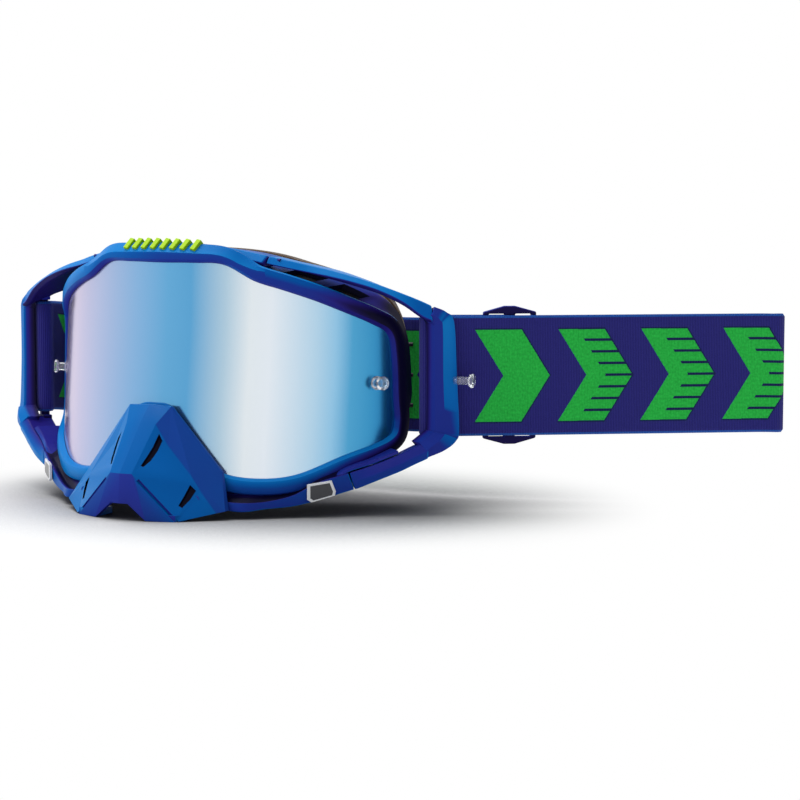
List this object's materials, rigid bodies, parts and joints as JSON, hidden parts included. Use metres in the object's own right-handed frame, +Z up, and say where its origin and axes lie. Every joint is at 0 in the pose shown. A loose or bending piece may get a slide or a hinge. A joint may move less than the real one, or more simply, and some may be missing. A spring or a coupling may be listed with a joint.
{
  "type": "goggles",
  "caption": "Motocross goggles with a curved mirror lens, outriggers, pull-off nose guard, layered face foam and a wide woven strap folded to one side.",
  "frame": {"origin": "middle of the lens's front face, on the symmetry plane", "axes": "-Y out of the lens's front, +X to the wearer's left, +Z up"},
  "size_m": [0.3024, 0.1546, 0.1013],
  "materials": {
    "frame_plastic": "satin, faint grain",
    "guard_plastic": "satin, faint grain",
    "mirror_lens": "mirror coated, blue to lilac",
    "clear_plastic": "clear, polished",
    "green_ribs": "satin",
    "plate": "gloss, pale border",
    "open_foam": "open-cell foam",
    "core_foam": "dense foam",
    "fleece": "fleece",
    "filter_foam": "open-cell foam",
    "woven_strap": "ribbed weave, edge bands, green woven pattern",
    "slider_plastic": "satin",
    "silicone": "matte"
  },
  "bodies": {
    "goggles": {"frame_shell": "frame_plastic", "lens": "mirror_lens", "lens_posts": "clear_plastic", "post_nuts": "clear_plastic", "brow_grip": "green_ribs", "badges": "plate", "outrigger_right": "frame_plastic", "outrigger_left": "frame_plastic", "outrigger_pins": "slider_plastic", "outrigger_posts": "clear_plastic", "face_foam_base": "open_foam", "face_foam_core": "core_foam", "face_fleece": "fleece", "top_vent_foam": "filter_foam", "bottom_vent_foam": "filter_foam", "strap_band": "woven_strap", "strap_return_right": "woven_strap", "strap_return_left": "woven_strap", "strap_grip": "silicone"},
    "nose_guard": {"nose_guard": "guard_plastic"},
    "slider_right": {"slider_right": "slider_plastic"},
    "slider_left": {"slider_left": "slider_plastic"}
  },
  "joints": [
    {"name": "nose_guard_pull", "type": "slide", "parent": "goggles", "child": "nose_guard", "axis": [0, -1, 0], "range_m": [0, 0.014]},
    {"name": "slider_right_slide", "type": "slide", "parent": "goggles", "child": "slider_right", "axis": [0.8121, 0.5835, 0], "range_m": [-0.004, 0.06], "deforming": ["strap_return_right"]},
    {"name": "slider_left_slide", "type": "slide", "parent": "goggles", "child": "slider_left", "axis": [0.9999, 0.0167, 0], "range_m": [-0.004, 0.03], "deforming": ["strap_return_left"]}
  ]
}
